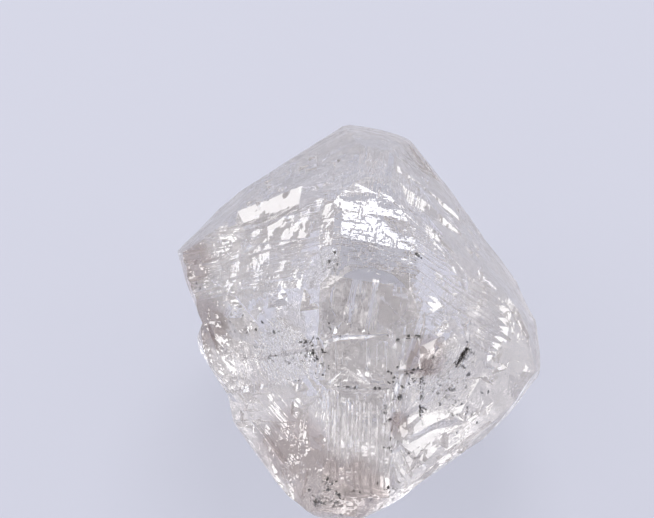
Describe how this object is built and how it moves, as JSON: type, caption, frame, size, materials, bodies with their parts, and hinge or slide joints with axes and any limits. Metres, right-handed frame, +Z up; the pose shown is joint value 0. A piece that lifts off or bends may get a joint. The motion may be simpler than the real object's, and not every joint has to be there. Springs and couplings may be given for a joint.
{
  "type": "rough diamond",
  "caption": "Uncut octahedral diamond crystal with broad stepped edges and triangular growth plates, lying on its broken point.",
  "frame": {"origin": "bottom centre of the stone's bounding box, on the surface that it lies on", "axes": "+Z up, square to the fracture that it rests on; +Y from the near corner to the far corner; +X to the right"},
  "size_m": [0.0074, 0.0086, 0.0061],
  "materials": {
    "diamond": "clear, faintly pink-brown, with frosted growth steps"
  },
  "bodies": {
    "root": {"rough_diamond": "diamond"}
  },
  "joints": []
}
